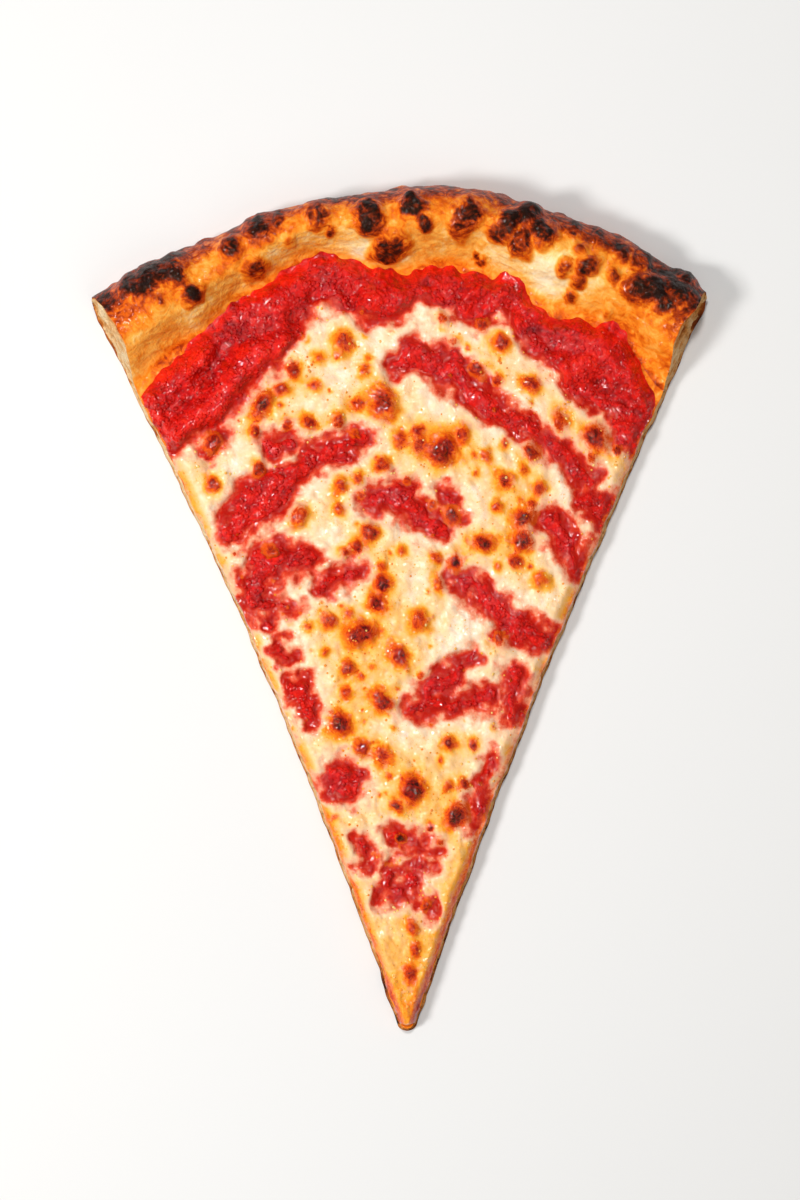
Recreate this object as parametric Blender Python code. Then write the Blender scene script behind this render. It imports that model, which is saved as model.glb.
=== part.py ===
"""Slice of cheese pizza, an eighth of a large pie with a thin base.

Three pieces lie on one another: the baked dough with its puffed rim, the tomato sauce, and the melted cheese
with windows where the sauce shows. The slice rests on its flat underside at z = 0, with its tip towards -Y
and its rim towards +Y. All three layers end on the same two sloping cuts.
"""

import math

import bmesh
import bpy
from mathutils import Matrix, Vector, noise

MM = 0.001

# Plan outline: the origin is midway along the slice and midway between its corners.
RIM_CENTRE = Vector((3.0, -25.3)) * MM
RIM_RADIUS = 139.0 * MM
LEFT_CORNER_TURN = math.radians(-39.25)
RIGHT_CORNER_TURN = math.radians(36.8)
TIP_CENTRE = Vector((1.9, -112.0)) * MM
TIP_RADIUS = 3.0 * MM
TIP_TURN = math.radians(69)
LEFT_CUT_BOW = 4.6 * MM
RIGHT_CUT_BOW = 3.2 * MM
CUT_SLOPE = 0.32

# Dough. Each list of widths is read at even steps from the left cut to the right.
RIM_HEIGHT = 18.0 * MM
BARE_RIM_WIDTHS = (26, 23, 18, 15, 21.5, 20.7, 24, 24, 29)
RIM_CROWN_SHARE = 0.44
RIM_EQUATOR_SHARE = 0.42
RIM_ROUND_TURN = math.radians(155)
BASE_THICKNESS = 4.2 * MM
TIP_THINNING = 0.8 * MM

# Sauce and cheese
LAYER_GAP = 0.3 * MM
SAUCE_THICKNESS = 1.3 * MM
SAUCE_RIDGE = 1.6 * MM
SAUCE_FRONT_MARGIN = 0.012
CHEESE_THICKNESS = 2.0 * MM
CHEESE_TO_RIM_WIDTHS = (49, 43, 38, 29, 34, 33.5, 35.5, 43, 46)
LAYER_LIP = 0.7 * MM

# Lattice that all three layers share, so that their facets stay parallel
COLUMNS = 18
CHEESE_ROWS = 21
SAUCE_RING_ROWS = 5
RIM_ROWS = 13

# Windows in the cheese, each an oval: centre x and y, length, width in mm, and its turn in degrees
CHEESE_WINDOWS = (
    (6, 68, 17, 9, -25),
    (19, 58.5, 20, 7, -42),
    (31, 51, 13, 5, -30),
    (47, 41, 16, 6.5, -50),
    (-19, 44, 19, 7, 14),
    (-33, 42, 11, 8, 35),
    (-40, 32, 24, 9, 42),
    (1, 29, 14, 8, -30),
    (9, 22.5, 14, 7, -15),
    (45, 20, 11, 7, -35),
    (-34, 10, 19, 9, 36),
    (-16, 8, 11, 6, -10),
    (22, 5, 12, 7, -55),
    (30, -2, 16, 7, -40),
    (13, -20, 14, 6, 45),
    (16, -25, 20, 6, 5),
    (-27.5, -24, 10, 5, 75),
    (-17, -46.5, 11.5, 10, 0),
    (-11, -65, 9, 5, 70),
    (1, -74, 15, 7, 10),
    (4, -64, 12, 4.5, -10),
)
WINDOW_SIDES = 10
WINDOW_CUT_HEIGHT = 40 * MM

# Blisters, each a flattened dome: centre x and y and radius in mm
CHEESE_BLISTERS = (
    (-5, 56, 4.5),
    (12, 43, 5),
    (-11.5, -6.5, 4.6),
    (4, -48.5, 4),
    (-39, 55.5, 3.6),
    (-18, -31, 3.8),
    (17, -56, 3.6),
    (35, 25, 3.6),
    (55, 47, 3.6),
    (-29, 25.5, 3.5),
    (-5.5, -24.5, 3.5),
    (5.5, -3, 3.3),
    (-5, 6, 3.3),
    (24, 18, 3.2),
)
CHEESE_BLISTER_RISE = 1.2 * MM

# Char blisters on the rim: share of the way across from cut to cut, share of the rim's section, radius in mm
RIM_BLISTERS = (
    (-0.83, 0.60, 5),
    (-0.70, 0.46, 3),
    (-0.47, 0.44, 3.2),
    (-0.12, 0.66, 4),
    (-0.05, 0.46, 3.6),
    (0.20, 0.58, 4.2),
    (0.40, 0.56, 6),
    (0.52, 0.44, 3.2),
    (0.66, 0.40, 3.2),
    (0.86, 0.50, 5),
    (0.94, 0.56, 4.5),
)
RIM_BLISTER_RISE = 0.33

CRUST_COLOUR = (0.72, 0.34, 0.10, 1)
SAUCE_COLOUR = (0.52, 0.012, 0.008, 1)
CHEESE_COLOUR = (0.93, 0.70, 0.40, 1)


def mix(a, b, share):
    return a + (b - a) * share


def eased(share):
    """A smooth step from 0 to 1 as share goes from 0 to 1."""
    share = min(1.0, max(0.0, share))
    return share * share * (3 - 2 * share)


def ripple(point, size, seed):
    """Even, repeatable unevenness from -1 to 1, with lumps about size across."""
    return noise.noise(Vector((point.x / size, point.y / size, seed)))


# ---- Plan ----


def rim_point(across):
    """Outermost point of a column, where across runs from -1 at the left cut to 1 at the right."""
    turn = mix(LEFT_CORNER_TURN, RIGHT_CORNER_TURN, (across + 1) / 2)
    radius = RIM_RADIUS + 1.0 * MM * math.sin(6.5 * turn + 0.7) + 0.6 * MM * math.sin(17 * turn)
    return RIM_CENTRE + radius * Vector((math.sin(turn), math.cos(turn)))


def tip_point(across):
    """Innermost point of a column, on the rounded tip, which runs smoothly into both cuts."""
    turn = across * TIP_TURN
    return TIP_CENTRE + TIP_RADIUS * Vector((math.sin(turn), -math.cos(turn)))


def column_length(across):
    return (rim_point(across) - tip_point(across)).length


def plan_point(across, along):
    """Point on a column, where along runs from 0 at the tip to 1 at the outer edge of the rim."""
    bow = LEFT_CUT_BOW if across < 0 else RIGHT_CUT_BOW
    straight = tip_point(across).lerp(rim_point(across), along)
    return straight - Vector((across * bow * math.sin(math.pi * along), 0))


def leaned(across, along, height):
    """The plan point at a height, drawn in from the cuts and the tip because both lean inwards."""
    turn = across * TIP_TURN
    near_tip = max(0.0, 1 - along * column_length(across) / (12 * MM))
    inward = Vector((-math.sin(turn), near_tip * math.cos(turn)))
    point = plan_point(across, along) + CUT_SLOPE * height * inward
    return Vector((point.x, point.y, height))


def width_across(widths, across):
    """Width in metres at across, from widths in mm at even steps between the cuts."""
    place = (across + 1) / 2 * (len(widths) - 1)
    step = min(int(place), len(widths) - 2)
    return mix(widths[step], widths[step + 1], eased(place - step)) * MM


def sauce_end(across):
    """Share of the column at which the sauce stops and the bare rim starts."""
    return 1 - width_across(BARE_RIM_WIDTHS, across) / column_length(across)


def cheese_end(across):
    """Share of the column at which the cheese stops and the ring of bare sauce starts."""
    return 1 - width_across(CHEESE_TO_RIM_WIDTHS, across) / column_length(across)


# ---- Heights ----


def base_top(across, along):
    """Upper face of the flat part of the dough."""
    thin = TIP_THINNING * (1 - eased(along * 3))
    return BASE_THICKNESS - thin + 0.35 * MM * ripple(plan_point(across, along), 17 * MM, 1.5)


def rim_height(across):
    puff = 0.10 * math.sin(5.2 * across + 1.0) + 0.06 * math.sin(13 * across)
    return RIM_HEIGHT * (1 + puff - 0.10 * across**6)


def rim_section(across, share):
    """Point on the rim's rounded section, as (share of the column, height), from its inner foot over the crown
    to the edge of the underside."""
    foot = sauce_end(across)
    length = column_length(across)
    crown_depth = RIM_CROWN_SHARE * (1 - foot) * length
    crown = rim_height(across)
    equator = RIM_EQUATOR_SHARE * crown
    if share < 0.5:
        climb = share * 2
        depth = mix((1 - foot) * length, crown_depth, climb)
        height = mix(base_top(across, foot), crown, eased(climb))
    else:
        turn = (share - 0.5) * 2 * RIM_ROUND_TURN
        depth = crown_depth * (1 - math.sin(turn))
        reach = crown - equator if turn < math.pi / 2 else equator
        height = equator + reach * math.cos(turn)
    return 1 - depth / length, height


def sauce_top(across, along):
    """Upper face of the sauce: thin under the cheese, heaped in the bare ring, low at its edge."""
    under_cheese, end = cheese_end(across), sauce_end(across)
    into_ring = (along - under_cheese) / (end - under_cheese)
    ridge = SAUCE_RIDGE * math.sin(math.pi * min(1.0, max(0.0, into_ring)))
    lumps = 0.35 * MM * ripple(plan_point(across, along), 9 * MM, 4.0)
    full = SAUCE_THICKNESS + lumps + ridge * (1 + 0.35 * ripple(plan_point(across, along), 12 * MM, 7.0))
    lip = eased((end - along) * column_length(across) / (5 * MM))
    return base_top(across, along) + LAYER_GAP + mix(LAYER_LIP, full, lip)


def cheese_top(across, along):
    mounds = 0.55 * MM * ripple(plan_point(across, along), 13 * MM, 9.0)
    lip = eased((cheese_end(across) - along) * column_length(across) / (6 * MM))
    lip *= eased(along * column_length(across) / (6 * MM))
    return sauce_top(across, along) + LAYER_GAP + mix(LAYER_LIP, CHEESE_THICKNESS + mounds, lip)


# ---- Layers ----


def row_share(row, across):
    """Share of the column of a lattice row: rows under the cheese, then under the ring of bare sauce."""
    if row <= CHEESE_ROWS:
        return mix(SAUCE_FRONT_MARGIN, cheese_end(across), (row / CHEESE_ROWS) ** 0.9)
    return mix(cheese_end(across), sauce_end(across), (row - CHEESE_ROWS) / SAUCE_RING_ROWS)


def slab(name, rows, colour, roughness, place):
    """Closed layer on the shared lattice. A flat grid is thickened, then place(across, row, is_top) gives each
    lattice point its position and keeps the faces outward."""
    shape = bmesh.new()
    bmesh.ops.create_grid(shape, x_segments=COLUMNS, y_segments=rows, size=1)
    bmesh.ops.triangulate(shape, faces=shape.faces[:], quad_method="FIXED")
    bmesh.ops.solidify(shape, geom=shape.faces[:], thickness=1)
    top_level = max(vertex.co.z for vertex in shape.verts)
    for vertex in shape.verts:
        row = round((vertex.co.y + 1) / 2 * rows)
        is_top = vertex.co.z > top_level - 0.5
        vertex.co = place(vertex.co.x, row, is_top)
    mesh = bpy.data.meshes.new(name)
    shape.to_mesh(mesh)
    shape.free()
    mesh.shade_smooth()
    piece = bpy.data.objects.new(name, mesh)
    piece.data.materials.append(finish(name, colour, roughness))
    return piece


def finish(name, colour, roughness):
    material = bpy.data.materials.new(name)
    material.use_nodes = True
    shader = material.node_tree.nodes["Principled BSDF"]
    shader.inputs["Base Color"].default_value = colour
    shader.inputs["Roughness"].default_value = roughness
    shader.inputs["Metallic"].default_value = 0
    return material


def crust_place(across, row, is_top):
    """Rows run from the tip along the base, then over the rim. The underside is flat."""
    flat_rows = CHEESE_ROWS + SAUCE_RING_ROWS
    if row == 0:
        along, height = 0.0, base_top(across, 0)
    elif row <= flat_rows:
        along = row_share(row, across)
        height = base_top(across, along)
    else:
        share = (row - flat_rows) / RIM_ROWS
        along, height = rim_section(across, share)
        if not is_top:
            foot = sauce_end(across)
            edge, _ = rim_section(across, 1)
            along = mix(foot, edge, share)
    return leaned(across, along, height if is_top else 0.0)


def sauce_place(across, row, is_top):
    along = row_share(row, across)
    height = sauce_top(across, along) if is_top else base_top(across, along) + LAYER_GAP
    return leaned(across, along, height)


def cheese_place(across, row, is_top):
    along = row_share(row, across)
    height = cheese_top(across, along) if is_top else sauce_top(across, along) + LAYER_GAP
    return leaned(across, along, height)


def helper(name, shape, placing):
    """Hidden object that a Boolean uses."""
    shape.transform(placing)
    mesh = bpy.data.meshes.new(name)
    shape.to_mesh(mesh)
    shape.free()
    tool = bpy.data.objects.new(name, mesh)
    tool.hide_render = True
    tool.display_type = "WIRE"
    return tool


def window_cutter(number, x, y, length, width, turn):
    """Upright oval cylinder that opens one window in the cheese."""
    shape = bmesh.new()
    bmesh.ops.create_cone(
        shape,
        cap_ends=True,
        segments=WINDOW_SIDES,
        radius1=0.5,
        radius2=0.5,
        depth=WINDOW_CUT_HEIGHT,
    )
    stretch = Matrix.Diagonal((length * MM, width * MM, 1, 1))
    turned = Matrix.Rotation(math.radians(turn), 4, "Z")
    return helper(f"window_{number}", shape, Matrix.Translation((x * MM, y * MM, 0)) @ turned @ stretch)


def blister(name, centre, radius, rise):
    """Flattened ball, half sunk in the surface it swells from."""
    shape = bmesh.new()
    bmesh.ops.create_uvsphere(shape, u_segments=10, v_segments=6, radius=1)
    stretch = Matrix.Diagonal((radius, radius, rise, 1))
    return helper(name, shape, Matrix.Translation(centre) @ stretch)


def column_through(x, y):
    """Across and along of the column point that lies over x and y in metres, found by closing in on it."""
    across, along = 0.0, 0.5
    for _ in range(40):
        miss = Vector((x, y)) - plan_point(across, along)
        step = 0.001
        by_across = (plan_point(across + step, along) - plan_point(across, along)) / step
        by_along = (plan_point(across, along + step) - plan_point(across, along)) / step
        area = by_across.x * by_along.y - by_across.y * by_along.x
        across += (miss.x * by_along.y - miss.y * by_along.x) / area
        along += (by_across.x * miss.y - by_across.y * miss.x) / area
        across = min(0.98, max(-0.98, across))
        along = min(1.0, max(0.02, along))
    return across, along


def cheese_blister(number, x, y, radius):
    across, along = column_through(x * MM, y * MM)
    centre = Vector((x * MM, y * MM, cheese_top(across, along) - 0.1 * MM))
    return blister(f"cheese_blister_{number}", centre, radius * MM, CHEESE_BLISTER_RISE)


def rim_blister(number, across, share, radius):
    along, height = rim_section(across, share)
    centre = leaned(across, along, height - 0.25 * RIM_BLISTER_RISE * radius * MM)
    return blister(f"rim_blister_{number}", centre, radius * MM, radius * RIM_BLISTER_RISE * MM)


def combine(piece, operation, name, tools):
    """Join every tool to the piece, or cut it away, keeping the tools in a collection of their own."""
    group = bpy.data.collections.new(name)
    bpy.context.scene.collection.children.link(group)
    for tool in tools:
        group.objects.link(tool)
    step = piece.modifiers.new(name, "BOOLEAN")
    step.operation = operation
    step.operand_type = "COLLECTION"
    step.collection = group
    step.solver = "EXACT"


def main():
    for old in list(bpy.data.objects):
        bpy.data.objects.remove(old)
    parts = bpy.data.collections.new("pizza_slice")
    bpy.context.scene.collection.children.link(parts)

    base_rows = CHEESE_ROWS + SAUCE_RING_ROWS
    crust = slab("crust", base_rows + RIM_ROWS, CRUST_COLOUR, 0.7, crust_place)
    sauce = slab("tomato_sauce", base_rows, SAUCE_COLOUR, 0.35, sauce_place)
    cheese = slab("melted_cheese", CHEESE_ROWS, CHEESE_COLOUR, 0.4, cheese_place)
    for piece in (crust, sauce, cheese):
        parts.objects.link(piece)

    combine(crust, "UNION", "rim_blisters", [rim_blister(n, *size) for n, size in enumerate(RIM_BLISTERS)])
    combine(
        cheese, "UNION", "cheese_blisters", [cheese_blister(n, *size) for n, size in enumerate(CHEESE_BLISTERS)]
    )
    combine(
        cheese, "DIFFERENCE", "windows", [window_cutter(n, *size) for n, size in enumerate(CHEESE_WINDOWS)]
    )


main()
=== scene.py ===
import math
from functools import partial

import bpy
import numpy as np
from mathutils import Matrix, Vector


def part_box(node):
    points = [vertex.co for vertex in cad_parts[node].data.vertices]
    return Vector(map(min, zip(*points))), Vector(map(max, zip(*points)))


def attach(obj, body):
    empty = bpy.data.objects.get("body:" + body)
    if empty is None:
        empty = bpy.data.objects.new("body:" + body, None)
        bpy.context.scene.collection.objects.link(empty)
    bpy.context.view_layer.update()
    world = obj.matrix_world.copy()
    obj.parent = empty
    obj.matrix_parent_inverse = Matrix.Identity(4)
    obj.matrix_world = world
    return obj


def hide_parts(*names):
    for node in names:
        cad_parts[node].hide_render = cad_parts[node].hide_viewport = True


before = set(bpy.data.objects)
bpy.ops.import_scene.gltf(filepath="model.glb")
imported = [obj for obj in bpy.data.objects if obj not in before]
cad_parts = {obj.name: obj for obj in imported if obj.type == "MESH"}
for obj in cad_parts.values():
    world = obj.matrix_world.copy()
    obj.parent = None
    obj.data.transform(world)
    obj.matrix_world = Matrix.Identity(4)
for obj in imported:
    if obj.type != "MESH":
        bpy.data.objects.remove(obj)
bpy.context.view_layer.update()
print("frame loaded:", sorted(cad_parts))

# sizes are in mm in the plan and height functions, and become metres where a mesh is made
mm = 0.001
crustLow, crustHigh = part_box("crust")
tallest = crustHigh.z / mm

slicePlan = {
    "rimCentre": (3.0, -25.3),
    "rimRadius": 138.6,
    "cornerTurns": (-38.85, 36.4),  # degrees from straight back, about the rim's centre
    "cornerReach": 1.3,  # how much further out the rim runs at its corners
    "tipCentre": (1.9, -112.0),
    "tipRadius": 3.0,
    "tipTurn": 69.0,  # degrees to each side, from straight forwards
    "cutBows": (4.6, 3.2),  # how far each cut curves inwards at its middle
    "cutSlope": 0.32,
    "tipRounding": 12,  # the cut faces turn round the tip over this length
}


def mix(a, b, share):
    return a + (b - a) * share


def eased(share):
    share = np.clip(share, 0, 1)
    return share * share * (3 - 2 * share)


def between(low, high, value):  # 0 below low, 1 above high, smooth between
    return eased((value - low) / (high - low))


def lumps(x, y, size, seed):  # repeatable unevenness, about -1 to 1, with lumps about size across
    turns = np.random.RandomState(seed).rand(101, 101) * 2 * np.pi
    u, v = np.asarray(x) / size + 41.3, np.asarray(y) / size + 57.7
    iu, iv = np.floor(u).astype(int), np.floor(v).astype(int)
    fu, fv = u - iu, v - iv

    def corner(du, dv):
        turn = turns[(iu + du) % 101, (iv + dv) % 101]
        return np.cos(turn) * (fu - du) + np.sin(turn) * (fv - dv)

    wu, wv = eased(fu), eased(fv)
    near = mix(corner(0, 0), corner(1, 0), wu)
    far = mix(corner(0, 1), corner(1, 1), wu)
    return 1.5 * mix(near, far, wv)


def tone(code):  # sRGB hex to the linear colour that shaders use
    parts = [int(code[i : i + 2], 16) / 255 for i in (1, 3, 5)]
    linear = [p / 12.92 if p <= 0.04045 else ((p + 0.055) / 1.055) ** 2.4 for p in parts]
    return (*linear, 1.0)


def addNode(tree, family, kind, settings=None, links=None, output=0):  # gives back one of its outputs
    node = tree.nodes.new(family + kind)
    for name, value in (settings or {}).items():
        if name == "stops":  # of a colour ramp: place and colour of each
            ramp = node.color_ramp
            while len(ramp.elements) < len(value):
                ramp.elements.new(1)
            for element, (place, code) in zip(ramp.elements, value):
                element.position, element.color = place, tone(code)
        elif name == "range":  # of a map range: from low, from high, to low, to high
            for index, bound in enumerate(value, 1):
                node.inputs[index].default_value = bound
        elif name == "grain":  # width of a texture's lumps, in mm
            node.inputs["Scale"].default_value = 1 / mm / value
        elif isinstance(name, int) or name in node.inputs:
            node.inputs[name].default_value = value
        else:
            setattr(node, name, value)
    for name, socket in (links or {}).items():
        tree.links.new(socket, node.inputs[name])
    return node.outputs[output] if len(node.outputs) else node


def rimPoint(across):
    turns = [math.radians(t) for t in slicePlan["cornerTurns"]]
    turn = mix(turns[0], turns[1], (across + 1) / 2)
    waves = 1.0 * np.sin(6.5 * turn + 0.7) + 0.6 * np.sin(17 * turn)
    radius = slicePlan["rimRadius"] + waves + slicePlan["cornerReach"] * np.abs(across) ** 6
    centre = slicePlan["rimCentre"]
    return centre[0] + radius * np.sin(turn), centre[1] + radius * np.cos(turn)


def tipPoint(across):
    turn = across * math.radians(slicePlan["tipTurn"])
    centre, radius = slicePlan["tipCentre"], slicePlan["tipRadius"]
    return centre[0] + radius * np.sin(turn), centre[1] - radius * np.cos(turn)


def columnLength(across):
    (x0, y0), (x1, y1) = tipPoint(across), rimPoint(across)
    return np.hypot(x1 - x0, y1 - y0)


def planPoint(across, along):
    (x0, y0), (x1, y1) = tipPoint(across), rimPoint(across)
    bow = np.where(across < 0, *slicePlan["cutBows"])
    return mix(x0, x1, along) - across * bow * np.sin(np.pi * along), mix(y0, y1, along)


def leaned(across, along, height, outward=0.0):  # point at a height, drawn in because the cuts lean inwards
    x, y = planPoint(across, along)
    turn = across * math.radians(slicePlan["tipTurn"])
    nearTip = np.maximum(0, 1 - along * columnLength(across) / slicePlan["tipRounding"])
    side = 40 * np.sign(across)  # far apart, so that each cut wanders in its own way
    wander = 0.55 * lumps(y, side, 9, 11) + 0.3 * lumps(y, side, 3.2, 12)
    inset = slicePlan["cutSlope"] * height - outward + (0.25 - wander) * np.abs(across) ** 12
    return np.stack([x - inset * np.sin(turn), y + inset * nearTip * np.cos(turn), height + 0 * x], -1)


def cutDistance(across, along):
    right = np.ones_like(along)
    width = planPoint(right, along)[0] - planPoint(-right, along)[0]
    return (1 - np.abs(across)) * (width / 2)


def widthAcross(widths, across):
    place = (across + 1) / 2 * (len(widths) - 1)
    step = np.minimum(place.astype(int), len(widths) - 2)
    widths = np.array(widths, float)
    return mix(widths[step], widths[step + 1], eased(place - step))


def polar(x, y):  # turn in degrees and distance about the rim's centre
    dx, dy = x - slicePlan["rimCentre"][0], y - slicePlan["rimCentre"][1]
    return np.degrees(np.arctan2(dx, dy)), np.hypot(dx, dy)


def insideEdge(x, y, edge):  # distance inside a wandering edge that is given by points from left to right
    turns, reaches = polar(*np.array(edge, float).T)
    turn, reach = polar(x, y)
    return np.interp(turn, turns, reaches) - reach


def capsule(x, y, x0, y0, w0, x1, y1, w1):  # distance outside a streak that narrows from w0 to w1
    dx, dy = x1 - x0, y1 - y0
    share = np.clip(((x - x0) * dx + (y - y0) * dy) / (dx * dx + dy * dy + 1e-9), 0, 1)
    return np.hypot(x - x0 - share * dx, y - y0 - share * dy) - mix(w0, w1, share) / 2


dough = {
    "baseThickness": 4.2,
    "tipThinning": 0.8,
    "rimHeight": 16.9,
    # width of the rim from its foot to its edge, from left to right
    "bareRim": (26, 23, 18, 15, 21.5, 20.7, 24, 24, 29),
    "climbShare": 0.45,  # share of the skin's rows that climb to the crown
    "crownShare": 0.44,  # how far the crown lies from the edge, as a share of the rim's width
    "equatorShare": 0.42,  # how high the rim is widest
    "roundTurn": 158.0,  # degrees that the outer side turns through, from crown to underside
    "unroll": 0.9,
    # char and brown blisters seen on the rim: x, y, radius, darkness, rise
    "charSpots": (
        (-70, 95, 3.2, 1.0, 1.2), (-71, 87.5, 4.6, 1.0, 1.1), (-66.5, 90, 5.6, 1.0, 1.4),
        (-61.5, 92, 4.6, 0.98, 1.3), (-56.5, 86, 2.5, 1.0, 1.2), (-65, 83.5, 1.4, 0.72, 0.4),
        (-46, 98.5, 3.1, 0.88, 1.3), (-39.5, 93, 2.9, 0.84, 1.1), (-38, 104.5, 4.4, 0.86, 0.8),
        (-33, 106, 3.0, 0.82, 0.5), (-30, 100.5, 1.8, 0.62, 0.6), (-22.5, 107, 4.0, 0.82, 0.9),
        (-19, 103.5, 1.6, 0.72, 0.4), (-8.5, 106.5, 3.9, 1.0, 1.9), (-3, 99, 4.0, 0.88, 1.5),
        (3.5, 109, 3.4, 1.0, 1.7), (6.5, 105, 2.2, 0.85, 0.9), (18, 107, 4.6, 0.9, 1.4),
        (30, 105, 4.2, 0.98, 1.8), (34.5, 107, 3.8, 1.0, 1.9), (38, 102.5, 3.8, 1.0, 1.9),
        (33, 100.5, 3.4, 0.93, 1.2), (27, 103, 3.2, 0.9, 0.9), (21, 97, 1.0, 1.0, 0.4),
        (22.5, 95.5, 1.5, 0.8, 0.5), (45, 93, 2.1, 0.76, 0.9), (51, 93.3, 2.9, 0.88, 1.2),
        (48.5, 89.5, 1.9, 0.84, 0.8), (47, 86, 1.6, 0.78, 0.7), (49, 97.5, 1.9, 0.62, 0.8),
        (58, 90.5, 1.9, 0.76, 0.9), (57, 81.5, 1.5, 0.55, 0.6), (61.5, 97, 3.2, 0.84, 0.8),
        (66, 95, 3.2, 0.84, 0.8), (47, 103.5, 2.3, 0.82, 0.5), (68.5, 87, 5.2, 1.0, 1.9),
        (74.5, 85, 5.0, 1.0, 1.6), (72, 83, 3.2, 0.93, 1.0), (79, 91, 3.2, 0.95, 0.9),
    ),
    # those spots are given as they look from above this place, where the crown looks wider by this share
    "spotMiddle": 1.8,
    "spotPull": 0.985,
}


def baseTop(across, along):
    x, y = planPoint(across, along)
    thin = dough["tipThinning"] * (1 - eased(along * 3))
    return dough["baseThickness"] - thin + 0.3 * lumps(x, y, 17, 3)


def rimFoot(across):
    return 1 - widthAcross(dough["bareRim"], across) / columnLength(across)


def rimHeight(across):
    puff = 0.09 * np.sin(5.2 * across + 1.0) + 0.05 * np.sin(13 * across)
    return dough["rimHeight"] * (1 + puff - 0.10 * across**6)


def innerSlope(across, along):  # height of the dough from the flat base up to the crown of the rim
    foot = rimFoot(across)
    crown = 1 - dough["crownShare"] * (1 - foot)
    climb = np.clip((along - foot) / (crown - foot), 0, 1)
    rise = 0.7 * eased(climb) + 0.3 * np.sin(climb * np.pi / 2)
    return mix(baseTop(across, np.minimum(along, foot)), rimHeight(across), rise)


def rimSection(across, share):  # over the rim, from its foot to the edge of the underside
    foot, crown = rimFoot(across), rimHeight(across)
    length = columnLength(across)
    crownDepth = dough["crownShare"] * (1 - foot) * length
    climbShare, fullTurn = dough["climbShare"], math.radians(dough["roundTurn"])
    climbing = np.clip(share / climbShare, 0, 1)
    turn = np.clip((share - climbShare) / (1 - climbShare), 0, 1) * fullTurn
    equator = dough["equatorShare"] * crown
    under = equator / -math.cos(fullTurn)
    outerHeight = equator + np.where(turn < np.pi / 2, crown - equator, under) * np.cos(turn)
    outerDepth = crownDepth * (1 - np.sin(turn))
    depth = np.where(share < climbShare, mix((1 - foot) * length, crownDepth, climbing), outerDepth)
    along = 1 - depth / length
    height = np.where(share < climbShare, innerSlope(across, np.minimum(along, 1)), outerHeight)
    return along, np.maximum(height, 0)


def skinSwell(x, y, z):  # unevenness of the crust, unrolled so that its lumps aren't stretched on steep sides
    y = y + z * dough["unroll"]
    swell = 0.5 * lumps(x, y, 15, 51) + 0.35 * lumps(x, y, 7, 52)
    return swell + 0.2 * lumps(x, y, 3, 53) + 0.1 * lumps(x, y, 1.4, 54)


sauce = {
    "rows": 305,
    "spacing": 0.7,
    "thickness": 1.3,
    "ridge": 3.8,  # height of the heaps on the bare ring
    "windowRise": 1.7,  # how far the sauce swells up where the cheese is open
    # outer edge of the sauce against the rim, from left to right
    "edge": (
        (-72, 58), (-66, 65), (-60, 71), (-56, 73), (-52, 77), (-48, 81), (-44, 84.5), (-40, 86.5),
        (-35, 89.5), (-31, 92), (-27, 94.5), (-22, 96), (-18, 95.5), (-13, 94), (-9, 92.5), (-4, 91.5),
        (2, 91.5), (8, 92.5), (14, 92.5), (20, 91), (25, 90), (31, 90), (34, 88), (37, 83), (41, 79.5),
        (46, 78.5), (50, 79), (54, 76.5), (59, 77.5), (62.5, 75), (65, 68), (68, 61), (74, 52),
    ),
}

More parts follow.
